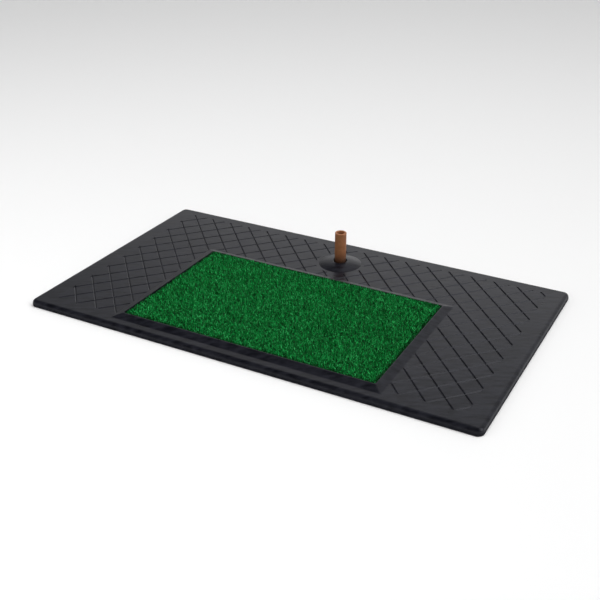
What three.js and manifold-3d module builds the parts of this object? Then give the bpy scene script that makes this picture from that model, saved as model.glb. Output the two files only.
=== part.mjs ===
// Golf hitting mat: a moulded rubber mat with a turf insert let into a raised platform,
// and a rubber tee that stands in a boss behind it. Millimetres, +Z up, origin at the
// middle of the underside. +X runs along the mat, -Y is the edge nearest the player.

import * as THREE from 'three';
import { mergeVertices } from 'three/addons/utils/BufferGeometryUtils.js';
import Module from 'manifold-3d';

const wasm = await Module();
wasm.setup();

// ---- driving dimensions ----
const GAP = 0.3; // clearance kept between pieces that touch on the real mat

const MAT_W = 610;
const MAT_D = 354;
const MAT_T = 9;
const MAT_CORNER_R = 8;
const EDGE_R = 5; // rounding of the upper edge
const EDGE_STEPS = 5;
const SOLE_R = 0.8; // rounding of the lower edge
const SOLE_STEPS = 2;
const CORNER_STEPS = 6;

const TURF_W = 345;
const TURF_D = 206;
const TURF_Y = -48.8; // centre of the turf
const TURF_CORNER_R = 1.5;
const RECESS_FLOOR_Z = 5;
const ADHESIVE_T = 0.4;
const BACKING_T = 1.6;
const PILE_TOP_Z = 13.3;

const RIM_W = 1.4; // flat lip round the turf
const RIM_Z = 12.8;
const SLOPE_W = 9.4; // run of the platform's sloping sides
const FOOT_FILLET_W = 1.6; // run of the fillet where a slope meets the mat
const FOOT_FILLET_H = 0.25;

const GROOVE_W = 2.5;
const GROOVE_DEPTH = 0.95;
const GROOVE_PITCH = 35.52; // spacing of the lines along Y
const GROOVE_SLOPE = 1.112; // rise over run of the diagonal lines
const GROOVE_FALL_Y = -2.3; // where one falling line crosses x = 0
const GROOVE_RISE_Y = 11.5; // where one rising line crosses x = 0
const FIELD_HALF_W = 279.3;
const FIELD_FRONT_Y = -153.6;
const FIELD_BACK_Y = 158.3;

const TEE_Y = 112;
const BOSS_R = 29.5;
const BOSS_H = 4.8;
const BOSS_CLEAR_R = 34; // the grooves stop at this radius
const BOSS_LIP_R = 1.6; // rounding round the mouth of the tee's hole
const BOSS_RINGS = 10;
const HOLE_R = 8.8;

const TEE_R = 7.9;
const TEE_BORE_R = 5.3;
const TEE_TOP_Z = 55.7;
const TEE_RIM_ROUND = 0.6;
const TEE_CUP_DEPTH = 1.8; // countersink that the ball sits in
const TEE_CUP_R = 6.3;
const FLANGE_R = 20;
const FLANGE_T = 2.6;
const FLANGE_ROUND = 0.5;
const FLANGE_CLEAR_R = 20.8;
const BEND_Z = 19; // height of the point that the tee bends about
const BEND_MAX_DEG = 60;
const TEE_SIDES = 40;

// ---- materials ----
const rubber = (color, roughness) => new THREE.MeshStandardMaterial({ color, roughness, metalness: 0 });
const matRubber = rubber(0x2b2b2f, 0.5);
const turfGreen = rubber(0x125028, 0.95);
const backingBlack = rubber(0x1b1c1a, 0.9);
const adhesiveClear = rubber(0xb9b49a, 0.6);
const teeRubber = rubber(0x69462d, 0.55);

// ---- solids ----
function toSolid(geometry) {
  const bare = geometry.clone();
  bare.deleteAttribute('normal');
  bare.deleteAttribute('uv');
  const merged = mergeVertices(bare, 1e-4);
  const vertProperties = new Float32Array(merged.attributes.position.array);
  const triVerts = new Uint32Array(merged.index.array);
  return new wasm.Manifold(new wasm.Mesh({ numProp: 3, vertProperties, triVerts }));
}

function toGeometry(solid) {
  const { vertProperties, triVerts } = solid.getMesh();
  const geometry = new THREE.BufferGeometry();
  geometry.setAttribute('position', new THREE.BufferAttribute(vertProperties, 3));
  geometry.setIndex(new THREE.BufferAttribute(triVerts, 1));
  geometry.computeVertexNormals();
  return geometry;
}

function piece(name, geometry, material) {
  const mesh = new THREE.Mesh(geometry, material);
  mesh.name = name;
  return mesh;
}

// Points of a rounded rectangle, anticlockwise, always the same number of them.
function roundedOutline(width, depth, radius) {
  const points = [];
  for (let corner = 0; corner < 4; corner++) {
    const signX = corner === 0 || corner === 3 ? 1 : -1;
    const signY = corner < 2 ? 1 : -1;
    const centreX = signX * (width / 2 - radius);
    const centreY = signY * (depth / 2 - radius);
    for (let step = 0; step <= CORNER_STEPS; step++) {
      const angle = (corner + step / CORNER_STEPS) * Math.PI / 2;
      points.push([centreX + radius * Math.cos(angle), centreY + radius * Math.sin(angle)]);
    }
  }
  return points;
}

// A closed skin through rings of {z, outline}, from the lowest to the highest.
function loft(rings, centreY = 0) {
  const count = rings[0].outline.length;
  const positions = [];
  for (const { z, outline } of rings) {
    for (const [x, y] of outline) {
      positions.push(x, y + centreY, z);
    }
  }
  const index = [];
  for (let ring = 0; ring + 1 < rings.length; ring++) {
    for (let i = 0; i < count; i++) {
      const a = ring * count + i;
      const b = ring * count + (i + 1) % count;
      index.push(a, b, b + count, a, b + count, a + count);
    }
  }
  const top = (rings.length - 1) * count;
  for (let i = 1; i + 1 < count; i++) {
    index.push(0, i + 1, i);
    index.push(top, top + i, top + i + 1);
  }
  const geometry = new THREE.BufferGeometry();
  geometry.setAttribute('position', new THREE.Float32BufferAttribute(positions, 3));
  geometry.setIndex(index);
  return geometry;
}

function prism(width, depth, radius, lowZ, highZ, centreY = 0) {
  const outline = roundedOutline(width, depth, radius);
  return loft([{ z: lowZ, outline }, { z: highZ, outline }], centreY);
}

// A solid of revolution about Z from a closed [radius, z] profile.
function turned(profile, sides, centreY = 0) {
  const points = profile.map(([r, z]) => new THREE.Vector2(r, z));
  points.push(points[0].clone());
  const geometry = new THREE.LatheGeometry(points, sides);
  geometry.rotateX(Math.PI / 2);
  geometry.translate(0, centreY, 0);
  return geometry;
}

function cylinder(radius, lowZ, highZ, sides, centreY) {
  const geometry = new THREE.CylinderGeometry(radius, radius, highZ - lowZ, sides);
  geometry.rotateX(Math.PI / 2);
  geometry.translate(0, centreY, (lowZ + highZ) / 2);
  return geometry;
}

// ---- moulded mat ----
function slab() {
  const rings = [];
  // A ring of the rounding about height centreZ, at this angle above the level.
  const ring = (centreZ, radius, angle) => {
    const inset = radius * (1 - Math.cos(angle));
    const outline = roundedOutline(MAT_W - 2 * inset, MAT_D - 2 * inset, MAT_CORNER_R - inset);
    rings.push({ z: centreZ + radius * Math.sin(angle), outline });
  };
  for (let step = SOLE_STEPS; step >= 0; step--) {
    ring(SOLE_R, SOLE_R, -step / SOLE_STEPS * Math.PI / 2);
  }
  for (let step = 0; step <= EDGE_STEPS; step++) {
    ring(MAT_T - EDGE_R, EDGE_R, step / EDGE_STEPS * Math.PI / 2);
  }
  return toSolid(loft(rings));
}

// The raised platform that frames the turf, grown outwards ring by ring from its lip.
function platform() {
  const ring = (z, outset) => {
    return { z, outline: roundedOutline(TURF_W + 2 * outset, TURF_D + 2 * outset, TURF_CORNER_R) };
  };
  const slopeFoot = RIM_W + SLOPE_W;
  const rings = [
    ring(RECESS_FLOOR_Z, slopeFoot + FOOT_FILLET_W),
    ring(MAT_T, slopeFoot + FOOT_FILLET_W),
    ring(MAT_T + FOOT_FILLET_H / 3, slopeFoot + FOOT_FILLET_W / 3),
    ring(MAT_T + FOOT_FILLET_H, slopeFoot),
    ring(RIM_Z, RIM_W),
  ];
  return toSolid(loft(rings, TURF_Y));
}

// Height of the boss above the mat: a dome that steepens towards its foot.
function bossRise(radius) {
  return BOSS_H * (1 - (radius / BOSS_R) ** 2.5);
}

function boss() {
  const profile = [[0, RECESS_FLOOR_Z], [BOSS_R, RECESS_FLOOR_Z], [BOSS_R, MAT_T]];
  const inner = HOLE_R + BOSS_LIP_R;
  for (let ring = 1; ring <= BOSS_RINGS; ring++) {
    const radius = BOSS_R + (inner - BOSS_R) * ring / BOSS_RINGS;
    profile.push([radius, MAT_T + bossRise(radius)]);
  }
  const lipZ = MAT_T + bossRise(inner) - BOSS_LIP_R;
  for (const degrees of [30, 60, 90]) {
    const angle = THREE.MathUtils.degToRad(degrees);
    const radius = inner - BOSS_LIP_R * Math.sin(angle);
    profile.push([radius, lipZ + BOSS_LIP_R * Math.cos(angle)]);
  }
  profile.push([0, lipZ]);
  return toSolid(turned(profile, 2 * TEE_SIDES, TEE_Y));
}

// One V-shaped groove of the diagonal lattice, crossing x = 0 at height crossY.
function groove(crossY, slope) {
  const rise = GROOVE_DEPTH / 2; // the cutter stands this far above the mat
  const half = GROOVE_W / 2 * (1 + rise / GROOVE_DEPTH);
  const section = new THREE.Shape([
    new THREE.Vector2(-half, rise),
    new THREE.Vector2(0, -GROOVE_DEPTH),
    new THREE.Vector2(half, rise),
  ]);
  const length = 3 * MAT_W;
  const geometry = new THREE.ExtrudeGeometry(section, { depth: length, bevelEnabled: false });
  geometry.translate(0, 0, -length / 2);
  geometry.rotateX(Math.PI / 2);
  geometry.rotateZ(Math.atan(slope) - Math.PI / 2);
  geometry.translate(0, crossY, MAT_T);
  return toSolid(geometry);
}

function grooveField() {
  const midY = (FIELD_FRONT_Y + FIELD_BACK_Y) / 2;
  const depth = FIELD_BACK_Y - FIELD_FRONT_Y;
  const low = MAT_T - 2 * GROOVE_DEPTH;
  const high = MAT_T + 2 * GROOVE_DEPTH;
  const keepOut = 2 * (RIM_W + SLOPE_W + FOOT_FILLET_W);
  const field = toSolid(prism(2 * FIELD_HALF_W, depth, 1, low, high, midY));
  const aroundTurf = prism(TURF_W + keepOut, TURF_D + keepOut, 1, low - 1, high + 1, TURF_Y);
  const aroundTee = cylinder(BOSS_CLEAR_R, low - 1, high + 1, 2 * TEE_SIDES, TEE_Y);
  return field.subtract(toSolid(aroundTurf)).subtract(toSolid(aroundTee));
}

function grooves() {
  const reach = Math.ceil((FIELD_HALF_W * GROOVE_SLOPE + FIELD_BACK_Y) / GROOVE_PITCH);
  let lattice = null;
  for (let line = -reach; line <= reach; line++) {
    const falling = groove(GROOVE_FALL_Y + line * GROOVE_PITCH, -GROOVE_SLOPE);
    const rising = groove(GROOVE_RISE_Y + line * GROOVE_PITCH, GROOVE_SLOPE);
    const pair = falling.add(rising);
    lattice = lattice ? lattice.add(pair) : pair;
  }
  return lattice.intersect(grooveField());
}

function baseMat() {
  const wide = 2 * GAP;
  const recess = prism(
    TURF_W + wide, TURF_D + wide, TURF_CORNER_R + GAP, RECESS_FLOOR_Z, 2 * MAT_T, TURF_Y);
  const hole = cylinder(HOLE_R, -1, 2 * MAT_T, TEE_SIDES, TEE_Y);
  const flangeSeat = cylinder(FLANGE_CLEAR_R, -1, FLANGE_T + 2 * GAP, TEE_SIDES, TEE_Y);
  const solid = slab()
    .subtract(grooves())
    .add(platform())
    .add(boss())
    .subtract(toSolid(recess))
    .subtract(toSolid(hole))
    .subtract(toSolid(flangeSeat));
  return piece('base_mat', toGeometry(solid), matRubber);
}

// ---- turf insert ----
const ADHESIVE_Z = RECESS_FLOOR_Z + GAP;
const BACKING_Z = ADHESIVE_Z + ADHESIVE_T + GAP;
const PILE_Z = BACKING_Z + BACKING_T + GAP;

function turfLayer(name, lowZ, highZ, material) {
  return piece(name, prism(TURF_W, TURF_D, TURF_CORNER_R, lowZ, highZ, TURF_Y), material);
}

// ---- tee ----
// The tee is one rubber moulding. It is made here as a fixed foot and a tube that bends
// over it: the tube's rounded lower end turns above the foot's dished top.
function teeFoot() {
  const flangeTop = GAP + FLANGE_T;
  const bend = THREE.MathUtils.degToRad(BEND_MAX_DEG);
  // Highest point at this radius that the tube's side clears when it is fully bent.
  const clearOfTube = (radius) => BEND_Z - (TEE_R + GAP - radius * Math.cos(bend)) / Math.sin(bend);
  const profile = [
    [TEE_BORE_R, GAP],
    [FLANGE_R - FLANGE_ROUND, GAP],
    [FLANGE_R, GAP + FLANGE_ROUND],
    [FLANGE_R, flangeTop - FLANGE_ROUND],
    [FLANGE_R - FLANGE_ROUND, flangeTop],
    [TEE_R, flangeTop],
    [TEE_R, clearOfTube(TEE_R)],
    [TEE_BORE_R, clearOfTube(TEE_BORE_R)],
  ];
  return piece('tee_foot', turned(profile, TEE_SIDES, TEE_Y), teeRubber);
}

function teeTube() {
  const profile = [];
  const lowestAngle = Math.acos(TEE_BORE_R / TEE_R);
  for (let step = 0; step <= EDGE_STEPS; step++) {
    const angle = lowestAngle * (1 - step / EDGE_STEPS);
    profile.push([TEE_R * Math.cos(angle), BEND_Z - TEE_R * Math.sin(angle)]);
  }
  profile.push([TEE_R, TEE_TOP_Z - TEE_RIM_ROUND]);
  profile.push([TEE_R - TEE_RIM_ROUND, TEE_TOP_Z]);
  profile.push([TEE_CUP_R, TEE_TOP_Z]);
  profile.push([TEE_BORE_R, TEE_TOP_Z - TEE_CUP_DEPTH]);
  return piece('tee_tube', turned(profile, TEE_SIDES, TEE_Y), teeRubber);
}

const group = new THREE.Group();
group.add(baseMat());
group.add(turfLayer('turf_adhesive', ADHESIVE_Z, ADHESIVE_Z + ADHESIVE_T, adhesiveClear));
group.add(turfLayer('turf_backing', BACKING_Z, BACKING_Z + BACKING_T, backingBlack));
group.add(turfLayer('turf_pile', PILE_Z, PILE_TOP_Z, turfGreen));
group.add(teeFoot());
group.add(teeTube());

export default group;
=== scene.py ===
"""The golf hitting mat's looks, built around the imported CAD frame. Metres, in the frame's own axes."""

import math

import bpy
import numpy as np
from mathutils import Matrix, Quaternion, Vector


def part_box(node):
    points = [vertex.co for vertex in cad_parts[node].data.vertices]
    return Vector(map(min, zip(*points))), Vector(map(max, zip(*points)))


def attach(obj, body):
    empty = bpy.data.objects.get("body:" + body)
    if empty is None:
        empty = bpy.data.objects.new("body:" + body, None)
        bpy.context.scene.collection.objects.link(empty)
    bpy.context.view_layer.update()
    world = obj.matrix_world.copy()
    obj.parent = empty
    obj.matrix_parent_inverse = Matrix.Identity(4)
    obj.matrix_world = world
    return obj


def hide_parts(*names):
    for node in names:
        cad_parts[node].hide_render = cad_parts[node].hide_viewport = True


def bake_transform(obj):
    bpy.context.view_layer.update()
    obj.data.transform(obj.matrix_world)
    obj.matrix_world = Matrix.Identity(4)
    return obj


MM = 0.001
SEED = 11
RIM_BELOW_PILE = 0.5 * MM  # the rubber lip lies this far under the tips of the pile

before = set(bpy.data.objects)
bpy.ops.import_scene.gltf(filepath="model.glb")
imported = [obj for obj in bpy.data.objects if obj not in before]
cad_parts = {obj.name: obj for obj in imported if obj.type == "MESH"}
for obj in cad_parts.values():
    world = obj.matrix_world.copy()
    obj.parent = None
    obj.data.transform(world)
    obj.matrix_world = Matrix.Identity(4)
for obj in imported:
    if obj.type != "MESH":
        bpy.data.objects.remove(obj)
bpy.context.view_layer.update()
mat_low, mat_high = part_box("base_mat")
pile_low, pile_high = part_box("turf_pile")
foot_low, foot_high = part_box("tee_foot")
tube_low, tube_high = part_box("tee_tube")


# ---------------------------------------------------------------- camera

CAMERA_AZIMUTH = 28.188
CAMERA_ELEVATION = 27.825
CAMERA_ROLL = 0.071
CAMERA_DISTANCE = 1.2660
CAMERA_TARGET = Vector((-0.0066, 0.0060, 0.0))
CAMERA_LENS = 57.744
SENSOR = 36.0
CAMERA_SHIFT_Y = -1 / 600


def make_camera():
    azimuth, elevation = math.radians(CAMERA_AZIMUTH), math.radians(CAMERA_ELEVATION)
    back = Vector((
        math.sin(azimuth) * math.cos(elevation),
        -math.cos(azimuth) * math.cos(elevation),
        math.sin(elevation),
    ))
    data = bpy.data.cameras.new("camera")
    data.lens = CAMERA_LENS
    data.sensor_width = SENSOR
    data.shift_y = CAMERA_SHIFT_Y
    camera = bpy.data.objects.new("camera", data)
    camera.location = CAMERA_TARGET + back * CAMERA_DISTANCE
    camera.rotation_mode = "QUATERNION"
    roll = Quaternion((0, 0, 1), math.radians(CAMERA_ROLL))
    camera.rotation_quaternion = (-back).to_track_quat("-Z", "Y") @ roll
    bpy.context.scene.collection.objects.link(camera)
    bpy.context.scene.camera = camera


# ---------------------------------------------------------------- studio

FLOOR_HALF = 20.0
KEY_POWER = 26.0
FILL_POWER = 9.0
# How bright the surroundings are in each direction: stops along Z, which others along X and Y scale.
SKY_UP = [
    (0.0, 1.2), (0.2, 1.3), (0.38, 1.28), (0.45, 1.15), (0.5, 0.75), (0.57, 0.68), (0.65, 0.3), (0.76, 0.05),
]
SKY_ACROSS = [
    (-0.74, 0.22), (-0.42, 0.88), (-0.3, 0.95), (0.0, 0.75), (0.4, 0.45), (0.62, 0.2), (0.85, 0.8),
]
SKY_DEEP = [(-0.55, 0.3), (0.05, 1.0)]
# Soft boxes overhead: each one's direction, the cosines of its outer and inner edge, and its brightness.
SOFT_BOXES = [((0.66, 0.15, 0.73), 0.92, 0.97, 3.7), ((0.08, 0.44, 0.89), 0.91, 0.97, 0.8)]


def make_floor():
    mesh = bpy.data.meshes.new("floor")
    half = FLOOR_HALF
    corners = [(-half, -half, 0), (half, -half, 0), (half, half, 0), (-half, half, 0)]
    mesh.from_pydata(corners, [], [(0, 1, 2, 3)])
    floor = bpy.data.objects.new("floor", mesh)
    bpy.context.scene.collection.objects.link(floor)
    material, nodes, _, shader = new_material("floor")
    shader.inputs["Base Color"].default_value = (0.93, 0.93, 0.93, 1)
    shader.inputs["Roughness"].default_value = 0.9
    shader.inputs["Specular IOR Level"].default_value = 0.1
    mesh.materials.append(material)


def make_world():
    """A bright sweep low behind the mat, a dark ceiling and a dim near side, with soft boxes overhead."""
    world = bpy.data.worlds.new("studio")
    world.use_nodes = True
    bpy.context.scene.world = world
    nodes, links = world.node_tree.nodes, world.node_tree.links
    background = nodes["Background"]
    where = nodes.new("ShaderNodeTexCoord")
    split = nodes.new("ShaderNodeSeparateXYZ")
    links.new(where.outputs["Generated"], split.inputs[0])
    light = sky_along(nodes, links, split.outputs["Z"], SKY_UP)
    for axis, stops in (("X", SKY_ACROSS), ("Y", SKY_DEEP)):
        scale = sky_along(nodes, links, split.outputs[axis], stops)
        light = vectors(nodes, links, "MULTIPLY", light, scale)
    for direction, outer, inner, brightness in SOFT_BOXES:
        toward = nodes.new("ShaderNodeVectorMath")
        toward.operation = "DOT_PRODUCT"
        toward.inputs[1].default_value = Vector(direction).normalized()
        links.new(where.outputs["Generated"], toward.inputs[0])
        glow = span(nodes, links, toward.outputs["Value"], outer, inner, 0.0, brightness)
        light = vectors(nodes, links, "ADD", light, glow)
    links.new(light, background.inputs["Color"])


def sky_along(nodes, links, component, stops):
    """Brightness over one component of the direction, which runs from -1 to 1."""
    place = span(nodes, links, component, -1.0, 1.0, 0.0, 1.0)
    return coloured(nodes, links, place, [(stop / 2 + 0.5, (grey, grey, grey)) for stop, grey in stops])


def area_light(name, place, size, power):
    """A square light that faces the mat and is left out of glossy reflections."""
    data = bpy.data.lights.new(name, "AREA")
    data.shape = "SQUARE"
    data.size = size
    data.energy = power
    light = bpy.data.objects.new(name, data)
    light.location = place
    light.rotation_mode = "QUATERNION"
    light.rotation_quaternion = (-Vector(place)).to_track_quat("-Z", "Y")
    light.visible_glossy = False
    bpy.context.scene.collection.objects.link(light)


def make_lights():
    area_light("key", (0.25, -0.3, 2.2), 1.8, KEY_POWER)
    area_light("fill", (-1.0, -1.4, 0.9), 1.2, FILL_POWER)


# ---------------------------------------------------------------- materials

def new_material(name):
    """(material, its nodes, its links, its Principled shader)."""
    material = bpy.data.materials.new(name)
    material.use_nodes = True
    tree = material.node_tree
    return material, tree.nodes, tree.links, tree.nodes["Principled BSDF"]


def noise(nodes, links, where, scale, detail=3.0, roughness=0.5):
    texture = nodes.new("ShaderNodeTexNoise")
    texture.inputs["Scale"].default_value = scale
    texture.inputs["Detail"].default_value = detail
    texture.inputs["Roughness"].default_value = roughness
    links.new(where, texture.inputs["Vector"])
    return texture.outputs["Fac"]


def span(nodes, links, value, low, high, to_low, to_high):
    """value mapped from low..high to to_low..to_high, kept inside them."""
    node = nodes.new("ShaderNodeMapRange")
    for name, number in zip(("From Min", "From Max", "To Min", "To Max"), (low, high, to_low, to_high)):
        node.inputs[name].default_value = number
    links.new(value, node.inputs["Value"])
    return node.outputs["Result"]


def combined(nodes, links, operation, first, second):
    node = nodes.new("ShaderNodeMath")
    node.operation = operation
    links.new(first, node.inputs[0])
    links.new(second, node.inputs[1])
    return node.outputs["Value"]


def vectors(nodes, links, operation, first, second):
    node = nodes.new("ShaderNodeVectorMath")
    node.operation = operation
    links.new(first, node.inputs[0])
    links.new(second, node.inputs[1])
    return node.outputs["Vector"]


def dimmed(nodes, links, colour, factor):
    node = nodes.new("ShaderNodeVectorMath")
    node.operation = "SCALE"
    links.new(colour, node.inputs[0])
    links.new(factor, node.inputs["Scale"])
    return node.outputs["Vector"]


def coloured(nodes, links, value, stops):
    """The colour at value on a ramp with stops at (position, colour) pairs."""
    ramp = nodes.new("ShaderNodeValToRGB")
    elements = ramp.color_ramp.elements
    while len(elements) < len(stops):
        elements.new(1.0)
    for element, (place, colour) in zip(elements, stops):
        element.position = place
        element.color = (*colour, 1)
    links.new(value, ramp.inputs["Fac"])
    return ramp.outputs["Color"]


def bump(nodes, links, height, strength, distance, under=None):
    node = nodes.new("ShaderNodeBump")
    node.inputs["Strength"].default_value = strength
    node.inputs["Distance"].default_value = distance
    links.new(height, node.inputs["Height"])
    if under is not None:
        links.new(under, node.inputs["Normal"])
    return node.outputs["Normal"]


def object_place(nodes):
    return nodes.new("ShaderNodeTexCoord").outputs["Object"]


FLOW_MARKS_TURN = 28.0  # degrees from the X axis
# painted highlight: a paler rubber colour for the light line that the lip behind the turf catches
LIP_HIGHLIGHT_COLOUR = (0.032, 0.032, 0.034, 1)


def back_rim(nodes, links, split):
    """One on the top of the lip behind the turf, where a painted highlight makes the rubber paler, and zero
    elsewhere.
    """
    rim_z = pile_high.z - RIM_BELOW_PILE
    back = pile_high.y
    high = span(nodes, links, split.outputs["Z"], rim_z - 0.5 * MM, rim_z - 0.15 * MM, 0.0, 1.0)
    behind = span(nodes, links, split.outputs["Y"], back - 1 * MM, back, 0.0, 1.0)
    near = span(nodes, links, split.outputs["Y"], back + 1.0 * MM, back + 1.6 * MM, 1.0, 0.0)
    return combined(nodes, links, "MULTIPLY", combined(nodes, links, "MULTIPLY", high, near), behind)


def mat_rubber():
    """Satin black moulded rubber: cloudy bloom, long flow marks, a fine grain and a painted highlight on the
    lip behind the turf.
    """
    material, nodes, links, shader = new_material("mat_rubber")
    where = object_place(nodes)
    cloud = noise(nodes, links, where, 55.0, 5.0, 0.65)
    stretch = nodes.new("ShaderNodeMapping")
    stretch.vector_type = "TEXTURE"
    stretch.inputs["Rotation"].default_value = (0.0, 0.0, math.radians(FLOW_MARKS_TURN))
    stretch.inputs["Scale"].default_value = (3.2, 1.0, 1.0)
    links.new(where, stretch.inputs["Vector"])
    streak = noise(nodes, links, stretch.outputs["Vector"], 190.0, 4.0, 0.6)
    patchy = span(nodes, links, cloud, 0.35, 0.65, 0.0, 0.3)
    tone = combined(nodes, links, "ADD", patchy, span(nodes, links, streak, 0.35, 0.65, 0.0, 0.7))
    black = coloured(nodes, links, tone, [(0.15, (0.0030, 0.0032, 0.0056)), (0.85, (0.0140, 0.0145, 0.0200))])
    split = nodes.new("ShaderNodeSeparateXYZ")
    links.new(where, split.inputs[0])
    side_wall = span(nodes, links, split.outputs["Z"], 3 * MM, 6.5 * MM, 0.6, 0.0)
    dull = combined(nodes, links, "ADD", span(nodes, links, cloud, 0.3, 0.7, 0.10, 0.20), side_wall)
    dull = combined(nodes, links, "ADD", span(nodes, links, streak, 0.3, 0.7, 0.15, 0.22), dull)
    links.new(dull, shader.inputs["Roughness"])
    grain = noise(nodes, links, where, 900.0, 2.0)
    soft = bump(nodes, links, streak, 0.5, 0.4 * MM)
    links.new(bump(nodes, links, grain, 0.4, 0.06 * MM, soft), shader.inputs["Normal"])
    # painted highlight: the lip's top behind the turf takes the paler colour, for the light it catches
    lip_highlight = nodes.new("ShaderNodeMix")
    lip_highlight.data_type = "RGBA"
    links.new(back_rim(nodes, links, split), lip_highlight.inputs["Factor"])
    links.new(black, lip_highlight.inputs["A"])
    lip_highlight.inputs["B"].default_value = LIP_HIGHLIGHT_COLOUR
    links.new(lip_highlight.outputs["Result"], shader.inputs["Base Color"])
    shader.inputs["Specular IOR Level"].default_value = 0.27
    shader.inputs["Specular Tint"].default_value = (0.92, 0.93, 1.0, 1)
    return material


def adhesive_film():
    material, nodes, links, shader = new_material("adhesive")
    where = object_place(nodes)
    smear = noise(nodes, links, where, 45.0, 4.0)
    film = coloured(nodes, links, smear, [(0.3, (0.36, 0.33, 0.24)), (0.7, (0.50, 0.47, 0.37))])
    links.new(film, shader.inputs["Base Color"])
    links.new(span(nodes, links, smear, 0.3, 0.7, 0.3, 0.6), shader.inputs["Roughness"])
    links.new(bump(nodes, links, smear, 0.5, 0.3 * MM), shader.inputs["Normal"])
    return material


def backing_cloth():
    """Black latex-coated cloth with its weave showing through."""
    material, nodes, links, shader = new_material("turf_backing")
    where = object_place(nodes)
    weave = nodes.new("ShaderNodeTexChecker")
    weave.inputs["Scale"].default_value = 800.0
    links.new(where, weave.inputs["Vector"])
    patch = noise(nodes, links, where, 120.0)
    cloth = coloured(nodes, links, patch, [(0.3, (0.012, 0.013, 0.012)), (0.7, (0.03, 0.032, 0.028))])
    links.new(cloth, shader.inputs["Base Color"])
    links.new(span(nodes, links, patch, 0.3, 0.7, 0.75, 0.95), shader.inputs["Roughness"])
    links.new(bump(nodes, links, weave.outputs["Fac"], 0.5, 0.2 * MM), shader.inputs["Normal"])
    return material


def pile_yarn():
    """Green nylon ribbon: each blade has its own tint, darkened with painted shade towards its root, with a
    soft sheen.
    """
    material, nodes, links, shader = new_material("turf_pile")
    tint = nodes.new("ShaderNodeAttribute")
    tint.attribute_name = "blade"
    split = nodes.new("ShaderNodeSeparateColor")
    links.new(tint.outputs["Color"], split.inputs["Color"])
    # the blades' own tones differ at random; the palest stop is whitened as a painted highlight, for the
    # glints on the yarn
    green = coloured(nodes, links, split.outputs["Red"], [
        (0.1, (0.001, 0.070, 0.011)),
        (0.45, (0.003, 0.275, 0.045)),
        (0.7, (0.012, 0.475, 0.095)),
        (0.88, (0.070, 0.760, 0.205)),
    ])
    # painted shade: blades darken towards their roots, where the pile shades itself
    depth = span(nodes, links, split.outputs["Green"], 0.0, 0.9, 0.12, 1.0)
    where = object_place(nodes)
    streak = noise(nodes, links, where, 1500.0, 2.0)
    shaded = dimmed(nodes, links, green, depth)
    links.new(shaded, shader.inputs["Base Color"])
    links.new(span(nodes, links, streak, 0.3, 0.7, 0.5, 0.7), shader.inputs["Roughness"])
    links.new(bump(nodes, links, streak, 0.3, 0.1 * MM), shader.inputs["Normal"])
    shader.inputs["Specular IOR Level"].default_value = 0.2
    return material


def thatch():
    """The felt of packed yarn between the roots: the yarn's green, darkened as painted shade where it lies
    deep under the blades.
    """
    material, nodes, links, shader = new_material("turf_thatch")
    where = object_place(nodes)
    clump = noise(nodes, links, where, 500.0, 4.0)
    # painted shade: the felt is coloured far darker than the yarn, for the shade under the blades
    painted_shade_felt = coloured(nodes, links, clump, [(0.35, (0.001, 0.016, 0.004)), (0.7, (0.004, 0.060, 0.014))])
    links.new(painted_shade_felt, shader.inputs["Base Color"])
    links.new(span(nodes, links, clump, 0.3, 0.7, 0.7, 0.95), shader.inputs["Roughness"])
    links.new(bump(nodes, links, clump, 0.8, 0.8 * MM), shader.inputs["Normal"])
    return material


def tee_rubber():
    """Brown gum rubber, dull and scuffed, darkened with painted shade where it leaves the boss."""
    material, nodes, links, shader = new_material("tee_rubber")
    where = object_place(nodes)
    split = nodes.new("ShaderNodeSeparateXYZ")
    links.new(where, split.inputs[0])
    mottle = noise(nodes, links, where, 130.0, 5.0, 0.65)
    brown = coloured(nodes, links, mottle, [(0.3, (0.290, 0.115, 0.049)), (0.7, (0.400, 0.165, 0.073))])
    # painted shade and painted reflection: the tube darkens towards the boss, for the shade and the black
    # mat's reflection around its foot; the flange under the mat is kept lighter
    painted_foot_shade = span(nodes, links, split.outputs["Z"], mat_high.z, mat_high.z + 16 * MM, 0.12, 1.0)
    flange = span(nodes, links, split.outputs["Z"], 4 * MM, 7 * MM, 0.8, 0.0)
    painted_foot_shade = combined(nodes, links, "MAXIMUM", painted_foot_shade, flange)
    foot_shaded = dimmed(nodes, links, brown, painted_foot_shade)
    links.new(foot_shaded, shader.inputs["Base Color"])
    links.new(span(nodes, links, mottle, 0.3, 0.7, 0.45, 0.62), shader.inputs["Roughness"])
    grain = noise(nodes, links, where, 1100.0, 2.0)
    soft = bump(nodes, links, mottle, 0.3, 0.25 * MM)
    links.new(bump(nodes, links, grain, 0.3, 0.05 * MM, soft), shader.inputs["Normal"])
    return material


def paint(target, *materials):
    target.data.materials.clear()
    for material in materials:
        target.data.materials.append(material)


# ---------------------------------------------------------------- moulded mat

def base_mat():
    """The CAD moulding keeps its shape: its long facets are merged and its edges are eased."""
    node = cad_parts["base_mat"]
    paint(node, mat_rubber())
    weld = node.modifiers.new("weld", "WELD")
    weld.merge_threshold = 0.001 * MM
    merge = node.modifiers.new("merge_facets", "DECIMATE")
    merge.decimate_type = "DISSOLVE"
    merge.angle_limit = math.radians(0.5)
    ease = node.modifiers.new("ease", "BEVEL")
    ease.limit_method = "ANGLE"
    ease.angle_limit = math.radians(28)
    ease.width = 0.35 * MM
    ease.segments = 2
    normals = node.modifiers.new("normals", "WEIGHTED_NORMAL")
    normals.keep_sharp = True


# ---------------------------------------------------------------- turf insert

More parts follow.
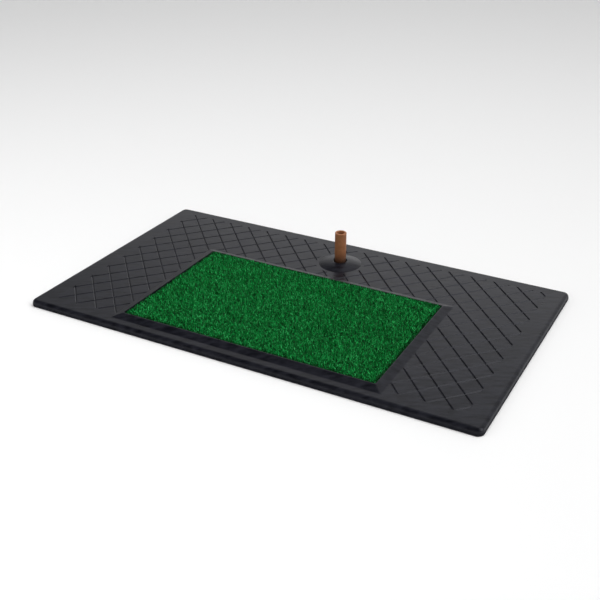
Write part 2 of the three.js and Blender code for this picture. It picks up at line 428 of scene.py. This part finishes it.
TUFT_PITCH = 2.6 * MM
TUFT_SPREAD = 0.65 * MM  # how far blades root from their tuft's middle
BLADES_PER_TUFT = 6
BACK_PITCH = 0.6 * MM  # one more row of blades follows the back edge, this far apart
FRAYED_AND_SHADED_WIDTH = 4.0 * MM
BLADE_LENGTH = (4.8 * MM, 6.6 * MM)
BLADE_WIDTH = (0.5 * MM, 0.9 * MM)
ROOT_DEPTH = 1.1 * MM  # thickness of the felt that the blades stand in
EDGE_KEEP = 0.25 * MM  # roots stay this far inside the insert's edge
OVERHANG = 1.2 * MM  # tips may lean this far over the rubber lip
SIDE_KEEP = 0.05 * MM  # below the lip, blades stay this far inside the recess
ROOT_SUNK = 0.4 * MM  # roots start this far under the felt's top
TUFT_JITTER = 0.3  # share of a tuft's pitch
BLADE_SHARES = (0.55, 0.45)  # of its length, below and above the knee
BLADE_TILT = (0.32, 0.24)  # mean and spread in radians, at the root
BLADE_CURL = (0.60, 0.45)  # mean and spread in radians, added at the knee
BLADE_TURN = 0.6  # spread in radians of the change of heading at the knee
TILT_LIMITS = (-1.2, 1.9)
FRAYED_LENGTH = (0.35, 1.05)
# painted shade: how much of their tint the blades near the front and sides keep
EDGE_SHADE_TINT = (0.0, 0.8)
TUFT_TINT = (1.1, 1.5)  # the two parameters of each beta distribution of tints
BLADE_TINT = (0.62, 0.95)
TUFT_TINT_SHARE = 0.22
# painted shade: each point's share of its blade's height, which darkens the yarn towards the root
BLADE_HEIGHTS = (0.0, 0.0, 0.7, 0.7, 1.0)  # for the shading, at the root, knee and tip
POINTS_PER_BLADE = len(BLADE_HEIGHTS)

felt_top = pile_low.z + ROOT_DEPTH


def link_piece(name, mesh, body, replaced):
    piece = bpy.data.objects.new(name, mesh)
    bpy.context.scene.collection.objects.link(piece)
    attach(piece, body)
    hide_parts(*replaced)


def blade_rows(rng, roots):
    """Each blade's root, knee and tip, and the sideways direction there, as (count, 3, 3) arrays."""
    count = len(roots)
    frayed_and_shaded = is_frayed_and_shaded(roots)
    length = rng.uniform(*BLADE_LENGTH, count)
    length[frayed_and_shaded] *= rng.uniform(*FRAYED_LENGTH, frayed_and_shaded.sum())
    heading = rng.uniform(0, 2 * math.pi, count)
    tilt = np.abs(rng.normal(*BLADE_TILT, count))
    curl = rng.normal(*BLADE_CURL, count)
    points, sides = [roots], []
    for share in BLADE_SHARES:
        away = np.stack([np.cos(heading), np.sin(heading), np.zeros(count)], 1)
        up = np.array([0.0, 0.0, 1.0])
        step = away * np.sin(tilt)[:, None] + up * np.cos(tilt)[:, None]
        points.append(points[-1] + step * (length * share)[:, None])
        sides.append(np.stack([-np.sin(heading), np.cos(heading), np.zeros(count)], 1))
        tilt = np.clip(tilt + curl, *TILT_LIMITS)
        heading = heading + rng.normal(0, BLADE_TURN, count)
    sides.append(sides[-1])
    return np.stack(points, 1), np.stack(sides, 1)


def back_row(rng, height):
    """Roots of the full row of blades along the insert's back edge."""
    count = round((pile_high.x - pile_low.x) / BACK_PITCH)
    row = np.full((count, 3), height)
    row[:, 0] = pile_low.x + rng.uniform(0, 1, count) * (pile_high.x - pile_low.x)
    row[:, 1] = pile_high.y - rng.uniform(EDGE_KEEP, 3 * EDGE_KEEP, count)
    return row


def is_frayed_and_shaded(roots):
    """Which blades stand so close to the front or a side that they are short and darkened with painted shade.
    """
    inside = np.minimum(roots[:, 1] - pile_low.y, roots[:, 0] - pile_low.x)
    return np.minimum(inside, pile_high.x - roots[:, 0]) < FRAYED_AND_SHADED_WIDTH


def blade_roots(rng, columns, rows):
    """Where the blades stand: in tufts on a jittered grid, and then in a row along the back edge."""
    width, depth = pile_high.x - pile_low.x, pile_high.y - pile_low.y
    grid_x, grid_y = np.meshgrid((np.arange(columns) + 0.5) / columns, (np.arange(rows) + 0.5) / rows)
    tufts = np.stack([grid_x.ravel(), grid_y.ravel()], 1)
    tufts += rng.uniform(-TUFT_JITTER, TUFT_JITTER, tufts.shape) / (columns, rows)
    tufts = tufts.repeat(BLADES_PER_TUFT, 0)
    tufts += rng.uniform(-1, 1, tufts.shape) * TUFT_SPREAD / (width, depth)
    roots = np.empty((len(tufts), 3))
    roots[:, 0] = pile_low.x + EDGE_KEEP + tufts[:, 0] * (width - 2 * EDGE_KEEP)
    roots[:, 1] = pile_low.y + EDGE_KEEP + tufts[:, 1] * (depth - 2 * EDGE_KEEP)
    roots[:, 2] = felt_top - ROOT_SUNK
    return np.concatenate([roots, back_row(rng, felt_top - ROOT_SUNK)])


def ribbons(rng, roots):
    """Each blade's points: a pair at its root, a pair at its knee, and its tip."""
    middle, side = blade_rows(rng, roots)
    inset = np.where(middle[:, :, 2] > pile_high.z - RIM_BELOW_PILE, -OVERHANG, SIDE_KEEP)
    for axis in (0, 1):
        middle[:, :, axis] = np.clip(middle[:, :, axis], pile_low[axis] + inset, pile_high[axis] - inset)
    half = rng.uniform(*BLADE_WIDTH, len(roots))[:, None, None] / 2
    left, right = middle - side * half, middle + side * half
    return np.stack([left[:, 0], right[:, 0], left[:, 1], right[:, 1], middle[:, 2]], 1)


def blade_tints(rng, roots, tuft_count):
    """How light each blade is, from 0 to 1, which is partly its tuft's tint and is darkened by painted shade
    near the front and sides.
    """
    count = len(roots)
    tuft_tint = rng.beta(*TUFT_TINT, tuft_count).repeat(BLADES_PER_TUFT)
    tuft_tint = np.concatenate([tuft_tint, rng.beta(*TUFT_TINT, count - len(tuft_tint))])
    tint = TUFT_TINT_SHARE * tuft_tint + (1 - TUFT_TINT_SHARE) * rng.beta(*BLADE_TINT, count)
    frayed_and_shaded = is_frayed_and_shaded(roots)
    # painted shade: blades near the front and sides are darkened, for the shade along the edge of the pile
    tint[frayed_and_shaded] *= rng.uniform(*EDGE_SHADE_TINT, frayed_and_shaded.sum())
    return tint


def turf():
    """Felt with thousands of curled ribbons standing in it, as one piece that stands for the pile block."""
    rng = np.random.default_rng(SEED)
    columns = round((pile_high.x - pile_low.x - 2 * EDGE_KEEP) / TUFT_PITCH)
    rows = round((pile_high.y - pile_low.y - 2 * EDGE_KEEP) / TUFT_PITCH)
    roots = blade_roots(rng, columns, rows)
    blades = ribbons(rng, roots)
    tint = blade_tints(rng, roots, columns * rows)
    blade_points, blade_faces = POINTS_PER_BLADE * len(blades), 2 * len(blades)

    first = np.arange(0, blade_points, POINTS_PER_BLADE)[:, None]
    stems, tips = first + (0, 1, 3, 2), first + (2, 3, 4)
    slab_points, slab_faces = slab(pile_low, Vector((pile_high.x, pile_high.y, felt_top)))
    vertices = np.concatenate([blades.reshape(-1, 3), slab_points])
    faces = stems.tolist() + tips.tolist() + (np.array(slab_faces) + blade_points).tolist()
    mesh = bpy.data.meshes.new("turf")
    mesh.from_pydata(vertices.tolist(), [], faces)
    mesh.materials.append(pile_yarn())
    mesh.materials.append(thatch())
    of_felt = np.arange(len(faces)) >= blade_faces
    mesh.polygons.foreach_set("material_index", of_felt.astype(np.int32))
    mesh.polygons.foreach_set("use_smooth", ~of_felt)

    colour = np.zeros((len(vertices), 4), np.float32)
    colour[:blade_points, 0] = tint.repeat(POINTS_PER_BLADE)
    # the green channel holds each point's height, for the painted shade at the roots
    colour[:blade_points, 1] = np.tile(BLADE_HEIGHTS, len(blades))
    colour[:, 3] = 1
    attribute = mesh.color_attributes.new("blade", "FLOAT_COLOR", "POINT")
    attribute.data.foreach_set("color", colour.ravel())
    link_piece("turf_pile_blades", mesh, "mat", ["turf_pile"])


def slab(low, high):
    """The corners and outward faces of a plain closed block."""
    xs, ys, zs = (low.x, high.x), (low.y, high.y), (low.z, high.z)
    points = [(x, y, z) for z in zs for y in ys for x in xs]
    faces = [(0, 2, 3, 1), (4, 5, 7, 6), (0, 1, 5, 4), (2, 6, 7, 3), (0, 4, 6, 2), (1, 3, 7, 5)]
    return np.array(points), faces


# ---------------------------------------------------------------- tee

TEE_SIDES = 64
WALL = 2.5 * MM
RIM_ROUND = 0.8 * MM
FLANGE_THICKNESS = 2.6 * MM
FLANGE_ROUND = 0.8 * MM
FILLET = 0.9 * MM  # where the tube grows out of the flange
MOUTH_ROUND = 0.6 * MM
RING_STEP = 1.5 * MM  # spacing of the tube's rings


def arc(centre, radius, start, end, steps):
    """Points of an arc in the (radius, z) half plane, from start to end degrees."""
    angles = np.radians(np.linspace(start, end, steps))
    return [(centre[0] + radius * math.cos(a), centre[1] + radius * math.sin(a)) for a in angles]


def tee_outline():
    """The tee's closed section as (radius, z) points: out along the flange, up the tube, down the bore."""
    outer = (tube_high.x - tube_low.x) / 2
    bore = outer - WALL
    flange = (foot_high.x - foot_low.x) / 2
    bottom, top = foot_low.z, tube_high.z
    shoulder = bottom + FLANGE_THICKNESS
    profile = [(bore, bottom), (bore + 0.5 * MM, bottom), (flange - FLANGE_ROUND, bottom)]
    profile += arc((flange - FLANGE_ROUND, bottom + FLANGE_ROUND), FLANGE_ROUND, -60, 90, 6)
    profile += [(outer + FILLET, shoulder)]
    profile += arc((outer + FILLET, shoulder + FILLET), FILLET, 250, 180, 4)
    rises = np.arange(shoulder + 2 * MM, top - RING_STEP, RING_STEP)
    profile += [(outer, z) for z in rises]
    profile += arc((outer - RIM_ROUND, top - RIM_ROUND), RIM_ROUND, 0, 90, 6)
    profile += arc((bore + MOUTH_ROUND, top - MOUTH_ROUND), MOUTH_ROUND, 90, 170, 5)
    profile += [(bore, z) for z in rises[::-1]]
    return profile + [(bore, shoulder)]


def tee():
    """One rubber moulding: a round flange under the mat and a hollow tube that rises through the boss."""
    axis_x, axis_y = (tube_low.x + tube_high.x) / 2, (tube_low.y + tube_high.y) / 2
    profile = tee_outline()
    rings = len(profile)
    turn = 2 * math.pi * np.arange(TEE_SIDES) / TEE_SIDES
    vertices = [
        (axis_x + r * math.cos(a), axis_y + r * math.sin(a), z) for a in turn for r, z in profile
    ]
    faces = []
    for side in range(TEE_SIDES):
        here, beside = side * rings, (side + 1) % TEE_SIDES * rings
        for ring in range(rings):
            after = (ring + 1) % rings
            faces.append((here + ring, beside + ring, beside + after, here + after))
    mesh = bpy.data.meshes.new("tee")
    mesh.from_pydata(vertices, [], faces)
    mesh.materials.append(tee_rubber())
    mesh.polygons.foreach_set("use_smooth", np.ones(len(faces), bool))
    piece = bpy.data.objects.new("rubber_tee", mesh)
    bpy.context.scene.collection.objects.link(piece)
    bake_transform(piece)
    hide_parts("tee_foot", "tee_tube")


make_camera()
make_world()
make_floor()
make_lights()
base_mat()
paint(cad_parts["turf_adhesive"], adhesive_film())
paint(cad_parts["turf_backing"], backing_cloth())
turf()
tee()
bpy.context.scene.view_settings.view_transform = "Standard"
